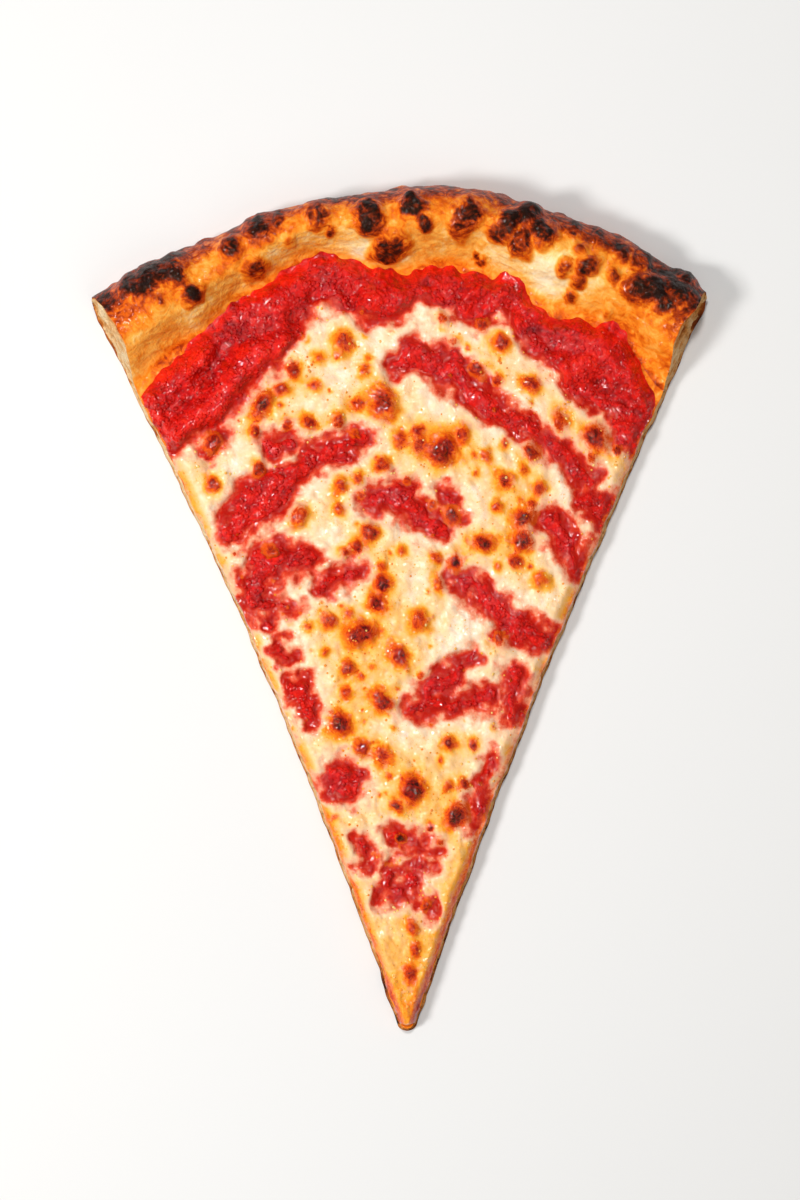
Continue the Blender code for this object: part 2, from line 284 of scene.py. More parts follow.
cheese = {
    "rows": 345,
    "spacing": 0.66,
    "thickness": 2.1,
    # how far short of the rim's edge its mesh ends, from left to right
    "margin": (42, 36, 32, 24, 27, 26, 29, 36, 40),
    # outer edge of the cheese against the ring of bare sauce, from left to right
    "edge": (
        (-64, 40), (-57, 47), (-51, 50), (-46, 55), (-41, 60), (-38, 64), (-33, 66.5), (-29, 73), (-25, 80),
        (-20, 82), (-16, 82.5), (-13, 79), (-9, 77.5), (-4, 78.5), (0, 79), (4, 82.5), (9, 83), (14, 80.5),
        (18, 78), (22, 76.5), (27, 79.5), (31, 78), (34, 73), (39, 68), (44, 62.5), (48, 57), (53, 55),
        (60, 52), (66, 42),
    ),
    # streaks and pools of sauce that show through: x, y, width, then x, y, width
    "windows": (
        (-1, 66, 5, 6, 70, 9), (6, 70, 9, 15, 63, 9), (15, 63, 8, 25, 55.5, 8), (25, 55.5, 8, 38, 47, 4),
        (42, 46, 7, 53, 35, 6), (61, 50, 7, 63, 46, 5), (-48, 22, 8, -41, 28, 12),
        (-41, 28, 12, -35, 33, 12), (-36, 44, 6, -31, 45, 6), (-33, 36, 8, -20, 43, 7),
        (-20, 43, 7, -9, 46.5, 5), (-54, 44, 5, -50, 47, 4), (-10, 29, 5, 0, 31, 10), (0, 30, 10, 7, 24, 8),
        (7, 24, 8, 13, 22, 5), (54, 30, 8, 57, 25, 6), (42, 23, 8, 47, 18, 9), (47, 18, 7, 50, 11, 4),
        (-41, 14, 7, -27, 14, 8), (-38, 12, 8, -42, 2, 8), (-39, 1, 7, -31, 1, 5), (-41, -3, 4, -37, -4, 4),
        (-22, 6.5, 5, -13, 10.5, 5), (16, 10, 5, 25, 2, 8), (25, 2, 8, 32, -4, 8), (32, -4, 8, 40, -8, 7),
        (-34, -10, 6, -32, -13, 5), (-29, -21, 6, -27, -28, 6), (20, -13, 4, 12, -20, 8),
        (12, -20, 8, 4, -27, 6), (6, -27, 6, 25, -24, 6), (33, -18, 6, 32, -29, 6),
        (-18, -46, 11, -16, -47, 11), (26, -41, 4, 24, -46, 3), (24, -50, 4, 22, -58, 4),
        (-12, -63, 4, -10, -68, 4), (-3, -61, 4, 10, -65, 4), (-3, -67, 4, -5, -77, 4),
        (-6, -78, 4, 4, -74, 6), (2, -73, 5, 9, -68, 4), (7, -80, 4, 9, -81, 4), (-44, 6, 3, -46, 9, 3),
        (12, 33, 2, 16, 26, 4),
    ),
    # toasted blisters: x, y, radius, darkness
    "blisters": (
        (-16, 72, 3.2, 0.66), (-27, 73.5, 1.3, 0.5), (-23, 68, 2.0, 0.52), (-10, 64.5, 1.9, 0.6),
        (-9, 68, 1.1, 0.5), (-30, 65, 2.4, 0.72), (-24, 60.5, 1.7, 0.6), (-33.5, 59.5, 2.3, 0.72),
        (-39, 55.5, 3.4, 0.82), (-12, 55.5, 2.2, 0.66), (-5, 56, 4.5, 0.98), (-17.5, 51, 2.5, 0.64),
        (-26, 50.5, 2.4, 0.72), (-32, 50, 2.0, 0.7), (-41, 48, 1.8, 0.66), (-13, 47.5, 1.6, 0.68),
        (-53, 45, 3.4, 0.75), (0, 46, 2.3, 0.52), (-5, 39, 2.6, 0.64), (-17, 33.5, 2.5, 0.62),
        (-12, 35.5, 2.0, 0.54), (-11, 31, 1.6, 0.62), (-17.5, 27, 2.0, 0.54), (-29, 25.5, 3.5, 0.66),
        (-8.5, 20.5, 3.0, 0.84), (-12.5, 17, 2.1, 0.8), (-16, 15.5, 1.6, 0.62), (0.5, 16, 1.5, 0.54),
        (-40, 38, 2.4, 0.72), (-53, 34, 2.3, 0.7), (-37, 16, 2.4, 0.7), (-5.5, 11.5, 1.6, 0.54),
        (-5, 7, 3.0, 0.84), (-7, 1.5, 3.0, 0.84), (-21, -3, 2.6, 0.64), (-26.5, -4.5, 1.5, 0.54),
        (-11.5, -6.5, 4.6, 0.96), (-15, -1, 1.6, 0.56), (-0.5, -12.5, 3.3, 0.74), (5.5, -3, 3.3, 0.62),
        (-15.5, -16, 2.4, 0.64), (-11.5, -18, 1.1, 0.5), (-22, -11.5, 1.3, 0.54), (6, -18, 1.3, 0.54),
        (-16, -22.5, 1.9, 0.58), (-5.5, -24.5, 3.5, 0.74), (-18, -31, 3.8, 0.84), (-11.5, -37.5, 2.7, 0.7),
        (-5.5, -39.5, 2.8, 0.62), (4, -48.5, 4.1, 0.98), (-1.5, -53, 1.8, 0.78), (-3.5, -45, 1.1, 0.5),
        (14.5, -36, 2.1, 0.76), (21.5, -36.5, 1.6, 0.66), (12, -41, 1.1, 0.52), (14.5, -48, 1.6, 0.54),
        (19, -47, 1.7, 0.66), (17, -56, 3.5, 0.84), (9, -59, 1.3, 0.7), (12.5, -63, 1.4, 0.56),
        (3.5, -86, 2.1, 0.62), (5, -92, 1.9, 0.56), (3, -98.5, 2.5, 0.6), (8, -80, 2.0, 0.68),
        (28.5, -8, 2.3, 0.66), (40.5, 8, 2.6, 0.52), (11, 7, 2.3, 0.58), (16, 12.5, 2.6, 0.82),
        (10.5, 14, 2.0, 0.54), (24, 18, 3.1, 0.82), (33, 13, 2.1, 0.66), (28, 11.5, 1.2, 0.52),
        (35, 25, 3.5, 0.84), (35, 18.5, 3.0, 0.8), (27.5, 28, 1.9, 0.62), (37.5, 28.5, 1.5, 0.6),
        (15, 25.5, 3.0, 0.76), (9, 28.5, 1.8, 0.7), (2, 35, 1.8, 0.68), (29.5, 35, 2.8, 0.74),
        (39.5, 33, 2.2, 0.64), (35, 38, 1.6, 0.54), (21.5, 37, 1.0, 0.5), (24.5, 41.5, 1.9, 0.58),
        (37, 42.5, 2.8, 0.74), (29.5, 45, 1.5, 0.64), (12, 43, 4.8, 0.98), (17.5, 47.5, 2.5, 0.74),
        (5.5, 44.5, 2.3, 0.62), (5, 48.5, 1.8, 0.56), (45, 51, 3.4, 0.64), (55, 46.5, 3.8, 0.84),
        (54, 41, 2.0, 0.56), (37, 61, 2.8, 0.74), (21.5, 65, 2.8, 0.74), (27.5, 62, 1.8, 0.7),
        (28.5, 72, 2.8, 0.74), (12, 78.5, 2.0, 0.66), (15, 72.5, 1.8, 0.54), (23, 77, 2.3, 0.7),
        (61, 43, 1.5, 0.7),
    ),
    "burntHole": (0, -62, 1.3, 1.4, -1.2),  # x, y, radius, darkness, and its depth as a negative rise
    "smallSpots": 150,
    "seed": 5,
}


def sauceThickness(across, along):
    x, y = planPoint(across, along)
    wander = 1.5 * lumps(x, y, 7, 21) + 0.9 * lumps(x, y, 2.8, 22)
    toRim = insideEdge(x, y, sauce["edge"]) + wander
    toCheese = cheeseCover(x, y)
    turn, reach = polar(x, y)
    # heaps left by the ladle run along the ring, at a slant to it
    slant = lumps(turn * 0.9 + 0.2 * reach, reach * 1.1 - turn * 0.7, 9.5, 23) + 0.25 * lumps(x, y, 5, 26)
    heaps = eased(0.5 + 1.0 * slant)
    ring = between(1.0, -5.0, insideEdge(x, y, cheese["edge"])) * between(0.0, 7.0, toRim)
    full = sauce["thickness"] + ring * sauce["ridge"] * (0.15 + 1.0 * heaps)
    swell = sauce["windowRise"] * between(0.6, -2.5, toCheese) * (1 - ring)
    full = full + swell * (1 + 0.5 * lumps(x, y, 6, 27))
    full = full + 0.8 * lumps(x, y, 3.6, 24) + 0.3 * lumps(x, y, 1.6, 25)
    # the layers slump down at the cuts
    full = full * mix(0.4, 1.0, between(0, 2.6, cutDistance(across, along)))
    edge = between(-1.6, 4.5, toRim) ** 0.8
    return mix(-0.5, np.maximum(full, 0.25), edge), toRim, heaps, ring


def cheeseCover(x, y):  # distance inside the cheese, negative where the sauce shows
    wx = x + 1.8 * lumps(x, y, 7, 31) + 0.8 * lumps(x, y, 3.0, 32)
    wy = y + 1.8 * lumps(x, y, 7, 34) + 0.8 * lumps(x, y, 3.0, 35)
    cover = insideEdge(wx, wy, cheese["edge"])
    for window in cheese["windows"]:
        cover = np.minimum(cover, capsule(wx, wy, *window))
    broken = 2.2 * lumps(x * 0.8 + y * 0.5, y - x * 0.6, 4.6, 37) + 0.5 * lumps(x, y, 2.0, 38)
    return cover + 0.7 + broken * between(6, 0, np.abs(cover))


# height, browning and oily glow that blisters add at each point, out to reach times their radius
def domes(x, y, spots, reach, ring=0.38):
    rise, toast, glowing = np.zeros_like(x), np.zeros_like(x), np.zeros_like(x)
    for sx, sy, radius, dark, high in spots:
        near = np.hypot(x - sx, y - sy) < radius * reach * 1.7
        own = np.random.RandomState(int(abs(sx * 131 + sy * 17) * 10))
        turn, squash = own.uniform(0, np.pi), own.uniform(0.84, 1.16)
        px = x[near] - sx + 0.22 * radius * lumps(x[near], y[near], radius * 0.9, 112)
        py = y[near] - sy + 0.22 * radius * lumps(x[near], y[near], radius * 0.9, 113)
        shape = 1 + 0.24 * lumps(x[near], y[near], radius * 1.3, 110)
        shape = shape + 0.1 * lumps(x[near], y[near], radius * 0.5, 111)
        long = (px * np.cos(turn) + py * np.sin(turn)) * squash
        wide = (py * np.cos(turn) - px * np.sin(turn)) / squash
        away = np.hypot(long, wide) / (radius * shape)
        rise[near] = np.maximum(rise[near], high * np.clip(1 - (away / 1.15) ** 2, 0, 1) ** 1.25)
        glow = dark * (1 - between(0.4, 1.1, away))
        halo = (0.1 + ring * dark) * (1 - between(0.75, reach * 0.78, away))
        toast[near] = np.maximum(toast[near], np.maximum(glow, halo))
        glowing[near] += 0.14 * dark * (1 - between(0.8, reach * 1.5, away))
    return rise, toast, np.minimum(glowing, 0.26)


def stripTriangles(lower, lowerAt, upper, upperAt):  # joins two rows of points, of any counts
    faces, i, j = [], 0, 0
    lastLower, lastUpper = len(lower) - 1, len(upper) - 1
    while i < lastLower or j < lastUpper:
        nextLower = lowerAt[i + 1] if i < lastLower else 9e9
        nextUpper = upperAt[j + 1] if j < lastUpper else 9e9
        if nextLower <= nextUpper:
            faces.append((lower[i], lower[i + 1], upper[j]))
            i += 1
        else:
            faces.append((lower[i], upper[j + 1], upper[j]))
            j += 1
    return faces


def evenColumns(width, spacing, fewest=12):
    columns = fewest
    while width / columns > spacing:
        columns *= 2
    return columns


def lattice(alongRows, spacing):  # rows of points across the slice, with more of them where it is wider
    rows, across, along, start = [], [], [], 0
    for alongOf in alongRows:
        ends = np.array([-1.0, 1.0])
        x, _ = planPoint(ends, alongOf(ends))
        columns = evenColumns(x[1] - x[0], spacing)
        a = np.linspace(-1, 1, columns + 1)
        rows.append(np.arange(start, start + columns + 1))
        across.append(a)
        along.append(alongOf(a))
        start += columns + 1
    faces = []
    for k in range(len(rows) - 1):
        faces += stripTriangles(rows[k], across[k], rows[k + 1], across[k + 1])
    return np.concatenate(across), np.concatenate(along), np.array(faces)


def openEdges(faces, count):  # edges with a face on one side only, in the direction that face runs
    edges = np.concatenate([faces[:, [0, 1]], faces[:, [1, 2]], faces[:, [2, 0]]])
    forward = edges[:, 0] * count + edges[:, 1]
    backward = edges[:, 1] * count + edges[:, 0]
    return edges[~np.isin(forward, backward)]


def newObject(name, data):
    thing = bpy.data.objects.new(name, data)
    bpy.context.scene.collection.objects.link(thing)
    return thing


def makePiece(name, points, faces, materials, fields, facesOf=None, sharp=55):
    used = np.unique(faces)
    renumber = np.zeros(len(points), int)
    renumber[used] = np.arange(len(used))
    mesh = bpy.data.meshes.new(name)
    mesh.from_pydata((points[used] * mm).tolist(), [], renumber[faces].tolist())
    for title, values in fields.items():
        layer = mesh.attributes.new(title, "FLOAT", "POINT")
        layer.data.foreach_set("value", np.asarray(values, np.float32)[used])
    for material in materials:
        mesh.materials.append(material)
    if facesOf is not None:
        mesh.polygons.foreach_set("material_index", np.asarray(facesOf, np.int32))
    mesh.shade_smooth()
    mesh.set_sharp_from_angle(angle=math.radians(sharp))
    mesh.update()
    print(name, len(faces), "triangles")
    return newObject(name, mesh)


def closedLayer(name, faces, top, bottom, material, fields, topFields):  # topFields are nought on the bottom
    count = len(top)
    rim = openEdges(faces, count)
    sides = np.concatenate(
        [
            np.stack([rim[:, 1], rim[:, 0], rim[:, 0] + count], -1),
            np.stack([rim[:, 1], rim[:, 0] + count, rim[:, 1] + count], -1),
        ]
    )
    allFaces = np.concatenate([faces, faces[:, ::-1] + count, sides])
    doubled = {title: np.concatenate([values, values]) for title, values in fields.items()}
    doubled |= {title: np.concatenate([values, 0 * values]) for title, values in topFields.items()}
    return makePiece(name, np.concatenate([top, bottom]), allFaces, [material], doubled)


def newMaterial(name, settings):
    material = bpy.data.materials.new(name)
    material.use_nodes = True
    shader = material.node_tree.nodes["Principled BSDF"]
    add = partial(addNode, material.node_tree, "ShaderNode")
    for title, value in settings.items():
        shader.inputs[title].default_value = value
    return material, add, shader, {"Vector": add("TexCoord", output="Object")}


# links the colour, the bumps (height, strength, distance) one on another, and the waves of a wet coat
def dress(add, shader, colour, bumps, at=None, film=None):
    link = shader.id_data.links.new
    link(colour, shader.inputs["Base Color"])
    relief = {}
    for height, strength, distance in bumps:
        settings = {"Strength": strength, "Distance": distance * mm}
        relief = {"Normal": add("Bump", settings, {"Height": height, **relief})}
    if relief:
        link(relief["Normal"], shader.inputs["Normal"])
    if film:
        waves = add("TexNoise", {"grain": film["width"], "Detail": 1, "Distortion": film["twist"]}, at)
        coat = add("Bump", {"Strength": 1.0, "Distance": film["depth"] * mm}, {"Height": waves})
        link(coat, shader.inputs["Coat Normal"])


mozzarellaLook = {
    "shader": {
        "Roughness": 0.3, "IOR": 1.45, "Specular IOR Level": 0.25, "Specular Tint": tone("#ffc890"),
        "Coat Weight": 0.62, "Coat Roughness": 0.1, "Coat IOR": 1.45, "Subsurface Weight": 0.14,
        "Subsurface Radius": (1.0, 0.55, 0.3), "Subsurface Scale": 0.0014,
    },
    "film": {"width": 4.5, "twist": 1.6, "depth": 1.3},
    "toastStops": (
        (0.0, "#ffe9d2"), (0.1, "#ffd6a6"), (0.22, "#fdbe68"), (0.34, "#fba62e"), (0.46, "#f38012"),
        (0.57, "#e85c0a"), (0.68, "#d03a08"), (0.8, "#ac200a"), (0.9, "#86120a"), (1.0, "#3c0806"),
    ),
    "tintStops": (
        (0.0, "#fde8cc"), (0.22, "#fbd4b4"), (0.42, "#f5a07a"), (0.6, "#dc4428"), (0.76, "#c01608"),
        (1.0, "#ac0803"),
    ),
}


# Mozzarella, melted in the oven: soft cream with an oily satin skin, milky under it, toasted where it swelled
def meltedMozzarella():
    material, add, shader, at = newMaterial("meltedMozzarella", mozzarellaLook["shader"])
    broad = add("TexNoise", {"grain": 9}, at)
    curd = add("TexNoise", {"grain": 2.4, "Detail": 4, "Roughness": 0.6}, at)
    fine = add("TexNoise", {"grain": 0.7}, at)
    threads = add("TexNoise", {"grain": 2.1, "Detail": 2, "Distortion": 2.2}, at)
    toasted = add("Attribute", {"attribute_name": "toast"}, output="Fac")
    sauced = add("Attribute", {"attribute_name": "sauceTint"}, output="Fac")

    # browning: mottled by the curds, wrinkled on the domes, with loose flecks between them
    mottle = add("MapRange", {"range": (0.3, 0.7, -0.06, 0.06)}, {0: curd})
    wrinkle = add("MapRange", {"range": (0.3, 0.7, -0.13, 0.13)}, {0: threads})
    wrinkled = add("MapRange", {"range": (0.25, 0.7, 0.1, 1.0)}, {0: toasted})
    toast = add("Math", {"operation": "ADD"}, {0: toasted, 1: mottle})
    toast = add("Math", {"operation": "MULTIPLY_ADD"}, {0: wrinkle, 1: wrinkled, 2: toast})
    fleck = add("MapRange", {"range": (0.64, 0.72, 0.0, 0.24)}, {0: fine})
    flecked = add("MapRange", {"range": (0.42, 0.6)}, {0: broad})
    toast = add("Math", {"operation": "MULTIPLY_ADD"}, {0: fleck, 1: flecked, 2: toast})
    colour = add("ValToRGB", {"stops": mozzarellaLook["toastStops"]}, {0: toast})

    # oil that gathers in thin orange threads between the curds
    crease = add("Math", {"operation": "SUBTRACT", 1: 0.5}, {0: threads})
    crease = add("Math", {"operation": "ABSOLUTE"}, {0: crease})
    crease = add("MapRange", {"range": (0.0, 0.016, 0.42, 0.0)}, {0: crease})
    oiled = add("MapRange", {"range": (0.44, 0.62)}, {0: broad})
    crease = add("Math", {"operation": "MULTIPLY"}, {0: crease, 1: oiled})
    colour = add("Mix", {"data_type": "RGBA", 7: tone("#e8902c")}, {0: crease, 6: colour}, 2)

    # sauce seen through the cheese where it thins out
    veil = add("MapRange", {"range": (0.3, 0.7, -0.16, 0.16)}, {0: curd})
    veil = add("Math", {"operation": "ADD"}, {0: veil, 1: sauced})
    pink = add("ValToRGB", {"stops": mozzarellaLook["tintStops"]}, {0: veil})
    shown = add("MapRange", {"range": (0.05, 0.4)}, {0: veil})
    unbrowned = add("MapRange", {"range": (0.42, 0.62, 1.0, 0.0)}, {0: toast})
    shown = add("Math", {"operation": "MULTIPLY"}, {0: shown, 1: unbrowned})
    colour = add("Mix", {"data_type": "RGBA"}, {0: shown, 6: colour, 7: pink}, 2)
    dress(add, shader, colour, ((curd, 0.5, 0.5), (threads, 0.3, 0.5)), at, mozzarellaLook["film"])
    return material


tomatoLook = {
    "shader": {
        "Roughness": 0.25, "IOR": 1.36, "Specular IOR Level": 0.3, "Specular Tint": tone("#ff9a7c"),
        "Coat Weight": 0.7, "Coat Roughness": 0.055, "Coat IOR": 1.5, "Subsurface Weight": 0.08,
        "Subsurface Radius": (1.0, 0.15, 0.08), "Subsurface Scale": 0.001,
    },
    "film": {"width": 3.4, "twist": 1.2, "depth": 1.3},
    "stops": ((0.0, "#8c0603"), (0.25, "#b80a04"), (0.5, "#dc140a"), (0.75, "#ec2410"), (1.0, "#fb5a34")),
}


# Tomato sauce, crushed and cooked: wet red pulp in fine grains, lighter on its lumps and grains and darker
# between them and between the heaps as painted light and shade, white glints
def crushedTomato(name):
    material, add, shader, at = newMaterial(name, tomatoLook["shader"])
    broad = add("TexNoise", {"grain": 6}, at)
    pulp = add("TexNoise", {"grain": 2.0, "Detail": 4, "Distortion": 1.2}, at)
    fine = add("TexNoise", {"grain": 0.7}, at)
    cells = add("TexVoronoi", {"feature": "SMOOTH_F1", "grain": 1.4}, at)
    hollow = add("Attribute", {"attribute_name": "hollow"}, output="Fac")
    # painted light and shade: the red is lighter where the pulp's lumps rise and darker in their dips, and
    # darker again where the hollow field is high
    shade = add("MapRange", {"range": (0.3, 0.7, 0.4, 0.8)}, {0: pulp})
    shade = add("Math", {"operation": "MULTIPLY_ADD", 1: -0.28}, {0: hollow, 2: shade})
    patch = add("MapRange", {"range": (0.35, 0.65, -0.1, 0.1)}, {0: broad})
    shade = add("Math", {"operation": "ADD"}, {0: shade, 1: patch})
    # painted light and shade on the grains: lighter in each grain's raised middle, darker in the gaps between
    # grains
    grains = add("MapRange", {"range": (0.0, 0.6, 0.1, -0.14)}, {0: cells})
    shade = add("Math", {"operation": "ADD"}, {0: shade, 1: grains})
    colour = add("ValToRGB", {"stops": tomatoLook["stops"]}, {0: shade})
    height = add("Math", {"operation": "MULTIPLY_ADD", 1: -0.6}, {0: cells, 2: pulp})
    dress(add, shader, colour, ((height, 0.7, 0.7), (fine, 0.4, 0.3)), at, tomatoLook["film"])
    return material


oilLook = {
    "shader": {"Roughness": 0.08, "IOR": 1.47, "Subsurface Weight": 0.3, "Subsurface Scale": 0.0006},
    "stops": ((0.35, "#fdd68a"), (0.5, "#f9b048"), (0.65, "#e87a1c")),
}


# Oil, rendered out of the cheese: amber beads with a hard glint
def pooledOil():
    material, add, shader, at = newMaterial("pooledOil", oilLook["shader"])
    thick = add("TexNoise", {"grain": 7}, at)
    colour = add("ValToRGB", {"stops": oilLook["stops"]}, {0: thick})
    dress(add, shader, colour, ())
    return material


skinLook = {
    "shader": {
        "Roughness": 0.5, "Specular IOR Level": 0.12, "Specular Tint": tone("#ffb070"), "Coat Weight": 0.3,
        "Coat Roughness": 0.1, "Coat IOR": 1.45,
    },
    "film": {"width": 3.6, "twist": 1.8, "depth": 1.2},
    "stops": (
        (0.0, "#fff0c8"), (0.16, "#fed992"), (0.3, "#fdb34c"), (0.44, "#f68a20"), (0.56, "#dc5e0c"),
        (0.68, "#a8360a"), (0.8, "#6c1e06"), (0.9, "#3a1007"), (1.0, "#1a0906"),
    ),
}


# Bread skin, baked: satin gold with fine wrinkles, paler on their ridges and darker in their creases as
# painted light and shade, brown where it is thin, black where it blistered
def bakedSkin():
    material, add, shader, at = newMaterial("bakedSkin", skinLook["shader"])
    broad = add("TexNoise", {"grain": 11}, at)
    patch = add("TexNoise", {"grain": 3.4, "Detail": 4, "Roughness": 0.62}, at)
    wrinkle = add("TexNoise", {"grain": 2.8, "Detail": 1, "Distortion": 1.8}, at)
    fine = add("TexNoise", {"grain": 0.7}, at)
    bakedAndShaded = add("Attribute", {"attribute_name": "bake"}, output="Fac")
    uneven = add("MapRange", {"range": (0.4, 0.75, 0.7, 1.6)}, {0: bakedAndShaded})
    patches = add("MapRange", {"range": (0.3, 0.7, -0.12, 0.12)}, {0: patch})
    # painted light and shade on the wrinkles: the skin is paler on their ridges and darker in their dips
    wrinkleShading = add("MapRange", {"range": (0.3, 0.7, 0.08, -0.08)}, {0: wrinkle})
    large = add("MapRange", {"range": (0.35, 0.65, -0.05, 0.05)}, {0: broad})
    bake = add("Math", {"operation": "MULTIPLY_ADD"}, {0: patches, 1: uneven, 2: bakedAndShaded})
    bake = add("Math", {"operation": "MULTIPLY_ADD"}, {0: wrinkleShading, 1: uneven, 2: bake})
    bake = add("Math", {"operation": "ADD"}, {0: bake, 1: large})
    colour = add("ValToRGB", {"stops": skinLook["stops"]}, {0: bake})
    bumps = ((patch, 0.6, 0.8), (wrinkle, 0.5, 0.4), (fine, 0.4, 0.3))
    dress(add, shader, colour, bumps, at, skinLook["film"])
    return material


crumbLook = {
    "shader": {"Roughness": 0.8, "IOR": 1.4, "Specular IOR Level": 0.12},
    "stops": (
        (0.0, "#f6e0ba"), (0.2, "#eec894"), (0.4, "#dfa160"), (0.55, "#d48338"), (0.7, "#9c4a1a"),
        (0.85, "#5c240e"), (1.0, "#30140a"),
    ),
}


# Bread crumb, torn open by the cut: pale and matt, full of small holes with painted shade in them, brown
# along the baked edges
def openCrumb():
    material, add, shader, at = newMaterial("openCrumb", crumbLook["shader"])
    patch = add("TexNoise", {"grain": 2.4, "Detail": 4, "Roughness": 0.6}, at)
    fine = add("TexNoise", {"grain": 0.7}, at)
    pores = add("TexVoronoi", {"grain": 1.3}, at)
    bakedAndShaded = add("Attribute", {"attribute_name": "bake"}, output="Fac")
    patches = add("MapRange", {"range": (0.3, 0.7, -0.08, 0.08)}, {0: patch})
    bake = add("Math", {"operation": "ADD"}, {0: bakedAndShaded, 1: patches})
    colour = add("ValToRGB", {"stops": crumbLook["stops"]}, {0: bake})
    # painted shade in the pores: a darker tan where the bumps dip into each pore
    poreShade = add("MapRange", {"range": (0.1, 0.28, 0.3, 0.0)}, {0: pores})
    colour = add("Mix", {"data_type": "RGBA", 7: tone("#d79a5c")}, {0: poreShade, 6: colour}, 2)
    height = add("MapRange", {"range": (0.0, 0.4, 0.0, 0.7)}, {0: pores})
    height = add("Math", {"operation": "ADD"}, {0: height, 1: fine})
    dress(add, shader, colour, ((height, 0.9, 1.0),))
    return material


stoneLook = {
    "shader": {"Roughness": 0.75, "IOR": 1.4},
    "stops": (
        (0.0, "#f3d5a0"), (0.25, "#e3b070"), (0.42, "#c98543"), (0.56, "#a05c27"), (0.7, "#6b3315"),
        (0.85, "#33170d"), (1.0, "#1a0d09"),
    ),
}


# Bread skin, baked on stone: flat, tan, with brown leopard spots and a dusting of flour
def stoneBakedBase():
    material, add, shader, at = newMaterial("stoneBakedBase", stoneLook["shader"])
    broad = add("TexNoise", {"grain": 26, "Detail": 3}, at)
    spots = add("TexNoise", {"grain": 7, "Detail": 4, "Roughness": 0.6}, at)
    fine = add("TexNoise", {"grain": 1.1, "Detail": 3}, at)
    flour = add("TexNoise", {"grain": 2.2, "Detail": 5, "Roughness": 0.75}, at)
    bake = add("MapRange", {"range": (0.3, 0.7, 0.22, 0.42)}, {0: broad})
    spotted = add("MapRange", {"range": (0.4, 0.68, 0.0, 0.42)}, {0: spots})
    bake = add("Math", {"operation": "ADD"}, {0: bake, 1: spotted})
    speckle = add("MapRange", {"range": (0.3, 0.7, -0.06, 0.06)}, {0: fine})
    bake = add("Math", {"operation": "ADD"}, {0: bake, 1: speckle})
    colour = add("ValToRGB", {"stops": stoneLook["stops"]}, {0: bake})
    dusted = add("MapRange", {"range": (0.56, 0.68, 0.0, 0.6)}, {0: flour})
    colour = add("Mix", {"data_type": "RGBA", 7: tone("#f6e8cf")}, {0: dusted, 6: colour}, 2)
    dress(add, shader, colour, ((spots, 0.7, 0.5), (fine, 0.6, 0.3)))
    return material


crustMesh = {
    "baseRows": 360,
    "rimRows": 104,
    "hiddenColumns": 40,  # under the layers and on the underside
    "rimColumns": 330,
    "shownRows": 9,  # of the base, next to the rim
    "wallLevels": 20,
    "underside": -1.0,  # these two stand in for a point's share where there is no skin
    "cutFace": -2.0,
    "clearance": 0.03,  # to the sides of the box
    "roofDepth": 2.6,  # domes flatten softly from this far below the tallest point
    "softRoof": 2.5,
    "sideSpots": 17,
    "sideSeed": 19,
    "turnLength": 2.42,  # mm along the rim for each degree
    "holes": 620,
    "holeSeed": 8,
}


